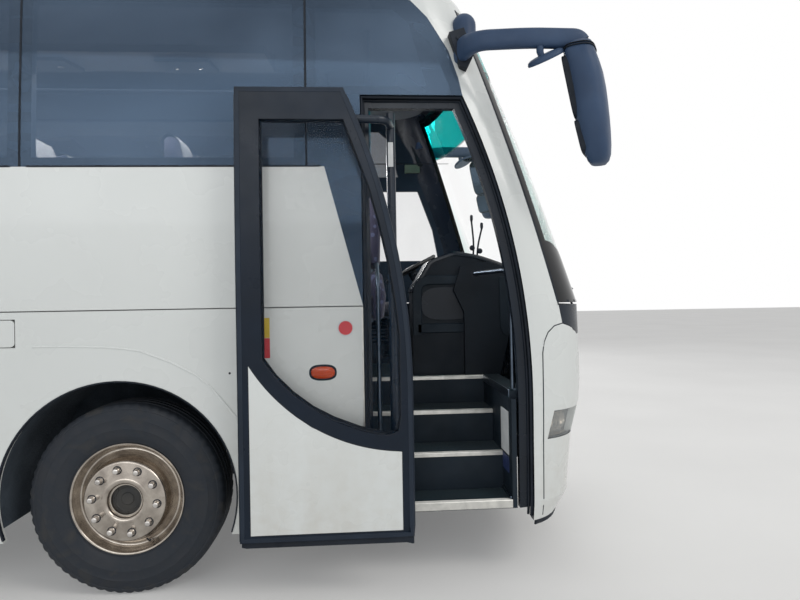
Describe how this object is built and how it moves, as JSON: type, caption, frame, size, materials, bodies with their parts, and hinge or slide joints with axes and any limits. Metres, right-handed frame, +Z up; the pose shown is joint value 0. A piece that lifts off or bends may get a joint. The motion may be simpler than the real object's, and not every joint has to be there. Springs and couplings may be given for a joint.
{
  "type": "coach bus",
  "caption": "High-deck coach with an open plug door over carpeted entrance steps, luggage doors between the wheels, bonded side glass and long-arm mirrors.",
  "frame": {"origin": "on the ground, below the middle of the coach's length and of its width over the mirrors", "axes": "+X forward along the coach, +Y to its left, +Z up"},
  "size_m": [12.1998, 3.1204, 3.7049],
  "materials": {
    "roof_plastic": "satin gel-coated cover",
    "frame_paint": "satin black chassis paint",
    "dash_plastic": "grained soft plastic",
    "black_trim": "gloss black",
    "driver_cloth": "woven seat cloth",
    "engine_paint": "painted casting",
    "axle_paint": "satin black",
    "body_white": "gloss white paint",
    "step_lining": "grey lining, dark carpet treads",
    "lamp_clear": "clear lens",
    "hold_lining": "grey lining",
    "rack_lining": "pale grey",
    "mirror_shell": "grained slate plastic",
    "deck_carpet": "dark teal floor covering",
    "seat_cloth": "woven seat cloth",
    "tinted_glass": "dark tinted glass",
    "lamp_red": "red lens",
    "housing_black": "matt black",
    "clear_glass": "laminated glass",
    "wheel_steel": "polished steel",
    "tyre": "worn black rubber",
    "wheel_rim_plastic": "grained black",
    "arm_paint": "satin black",
    "door_black": "black frame and rubber edge",
    "door_glass": "tinted double glazing"
  },
  "bodies": {
    "root": {"ac_unit": "roof_plastic", "chassis_frame": "frame_paint", "dashboard": "dash_plastic", "door_surround": "black_trim", "driver_seat": "driver_cloth", "engine_block": "engine_paint", "front_axle": "axle_paint", "front_bumper": "body_white", "front_cowl": "black_trim", "front_mask": "body_white", "front_steps": "step_lining", "headlamps": "lamp_clear", "lower_panels_left": "body_white", "lower_panels_right": "body_white", "luggage_hold": "hold_lining", "luggage_racks": "rack_lining", "mirrors": "mirror_shell", "passenger_deck": "deck_carpet", "seat_backs": "seat_cloth", "seat_cushions": "seat_cloth", "rear_axle": "axle_paint", "rear_bumper": "body_white", "rear_wall": "body_white", "rear_window": "tinted_glass", "roof": "body_white", "side_glass_left": "tinted_glass", "side_glass_right": "tinted_glass", "side_wall_left": "body_white", "side_wall_right": "body_white", "tail_lamps": "lamp_red", "wheel_housings": "housing_black", "windshield": "clear_glass"},
    "knuckle_left": {"knuckle_left": "axle_paint"},
    "knuckle_right": {"knuckle_right": "axle_paint"},
    "front_wheel_left": {"front_rim_left": "wheel_steel", "front_tyre_left": "tyre"},
    "front_wheel_right": {"front_rim_right": "wheel_steel", "front_tyre_right": "tyre"},
    "rear_wheels_left": {"rear_rim_left": "wheel_steel", "rear_tyre_left": "tyre"},
    "rear_wheels_right": {"rear_rim_right": "wheel_steel", "rear_tyre_right": "tyre"},
    "steering_wheel": {"steering_wheel": "wheel_rim_plastic"},
    "door_column": {"door_column": "arm_paint"},
    "entrance_door": {"door_frame": "door_black", "door_panel": "body_white", "door_glass": "door_glass"},
    "engine_lid": {"engine_lid": "body_white"},
    "fuel_flap": {"fuel_flap": "body_white"},
    "luggage_door_left_1": {"luggage_door_left_1": "body_white"},
    "luggage_door_left_2": {"luggage_door_left_2": "body_white"},
    "luggage_door_left_3": {"luggage_door_left_3": "body_white"},
    "luggage_door_right_1": {"luggage_door_right_1": "body_white"},
    "luggage_door_right_2": {"luggage_door_right_2": "body_white"},
    "luggage_door_right_3": {"luggage_door_right_3": "body_white"}
  },
  "joints": [
    {"name": "steer_left", "type": "hinge", "parent": "root", "child": "knuckle_left", "pos_m": [3.45, 0.985, 0.508], "axis": [0, 0, 1], "range_deg": [-40, 40]},
    {"name": "steer_right", "type": "hinge", "parent": "root", "child": "knuckle_right", "pos_m": [3.45, -0.985, 0.508], "axis": [0, 0, 1], "range_deg": [-40, 40]},
    {"name": "front_spin_left", "type": "hinge", "parent": "knuckle_left", "child": "front_wheel_left", "pos_m": [3.45, 1.079, 0.508], "axis": [0, 1, 0], "continuous": true},
    {"name": "front_spin_right", "type": "hinge", "parent": "knuckle_right", "child": "front_wheel_right", "pos_m": [3.45, -1.079, 0.508], "axis": [0, 1, 0], "continuous": true},
    {"name": "rear_spin_left", "type": "hinge", "parent": "root", "child": "rear_wheels_left", "pos_m": [-2.8, 1.079, 0.508], "axis": [0, 1, 0], "continuous": true},
    {"name": "rear_spin_right", "type": "hinge", "parent": "root", "child": "rear_wheels_right", "pos_m": [-2.8, -1.079, 0.508], "axis": [0, 1, 0], "continuous": true},
    {"name": "steering_wheel_turn", "type": "hinge", "parent": "root", "child": "steering_wheel", "pos_m": [5.13, 0.6, 1.8], "axis": [-0.4695, 0, 0.8829], "range_deg": [-720, 720]},
    {"name": "door_swing", "type": "hinge", "parent": "root", "child": "door_column", "pos_m": [4.8825, -1.165, 1.5], "axis": [0, 0, 1], "range_deg": [0, 153.7]},
    {"name": "door_guide", "type": "hinge", "parent": "door_column", "child": "entrance_door", "pos_m": [4.578, -1.315, 1.5], "axis": [0, 0, 1], "range_deg": [-153.7, 0]},
    {"name": "engine_lid_lift", "type": "hinge", "parent": "root", "child": "engine_lid", "pos_m": [-6.09, 0, 1.476], "axis": [0, 1, 0], "range_deg": [0, 75]},
    {"name": "fuel_flap_swing", "type": "hinge", "parent": "root", "child": "fuel_flap", "pos_m": [2.928, -1.277, 1.4], "axis": [0, 0, 1], "range_deg": [0, 110]},
    {"name": "luggage_lift_left_1", "type": "hinge", "parent": "root", "child": "luggage_door_left_1", "pos_m": [0.26, 1.277, 1.478], "axis": [1, 0, 0], "range_deg": [0, 85]},
    {"name": "luggage_lift_left_2", "type": "hinge", "parent": "root", "child": "luggage_door_left_2", "pos_m": [0.26, 1.277, 1.478], "axis": [1, 0, 0], "range_deg": [0, 85]},
    {"name": "luggage_lift_left_3", "type": "hinge", "parent": "root", "child": "luggage_door_left_3", "pos_m": [0.26, 1.277, 1.478], "axis": [1, 0, 0], "range_deg": [0, 85]},
    {"name": "luggage_lift_right_1", "type": "hinge", "parent": "root", "child": "luggage_door_right_1", "pos_m": [0.26, -1.277, 1.478], "axis": [-1, 0, 0], "range_deg": [0, 85]},
    {"name": "luggage_lift_right_2", "type": "hinge", "parent": "root", "child": "luggage_door_right_2", "pos_m": [0.26, -1.277, 1.478], "axis": [-1, 0, 0], "range_deg": [0, 85]},
    {"name": "luggage_lift_right_3", "type": "hinge", "parent": "root", "child": "luggage_door_right_3", "pos_m": [0.26, -1.277, 1.478], "axis": [-1, 0, 0], "range_deg": [0, 85]}
  ],
  "couplings": [
    {"joint": "steer_right", "follows": "steer_left", "ratio": 1},
    {"joint": "steering_wheel_turn", "follows": "steer_left", "ratio": 17},
    {"joint": "door_guide", "follows": "door_swing", "ratio": -1}
  ]
}
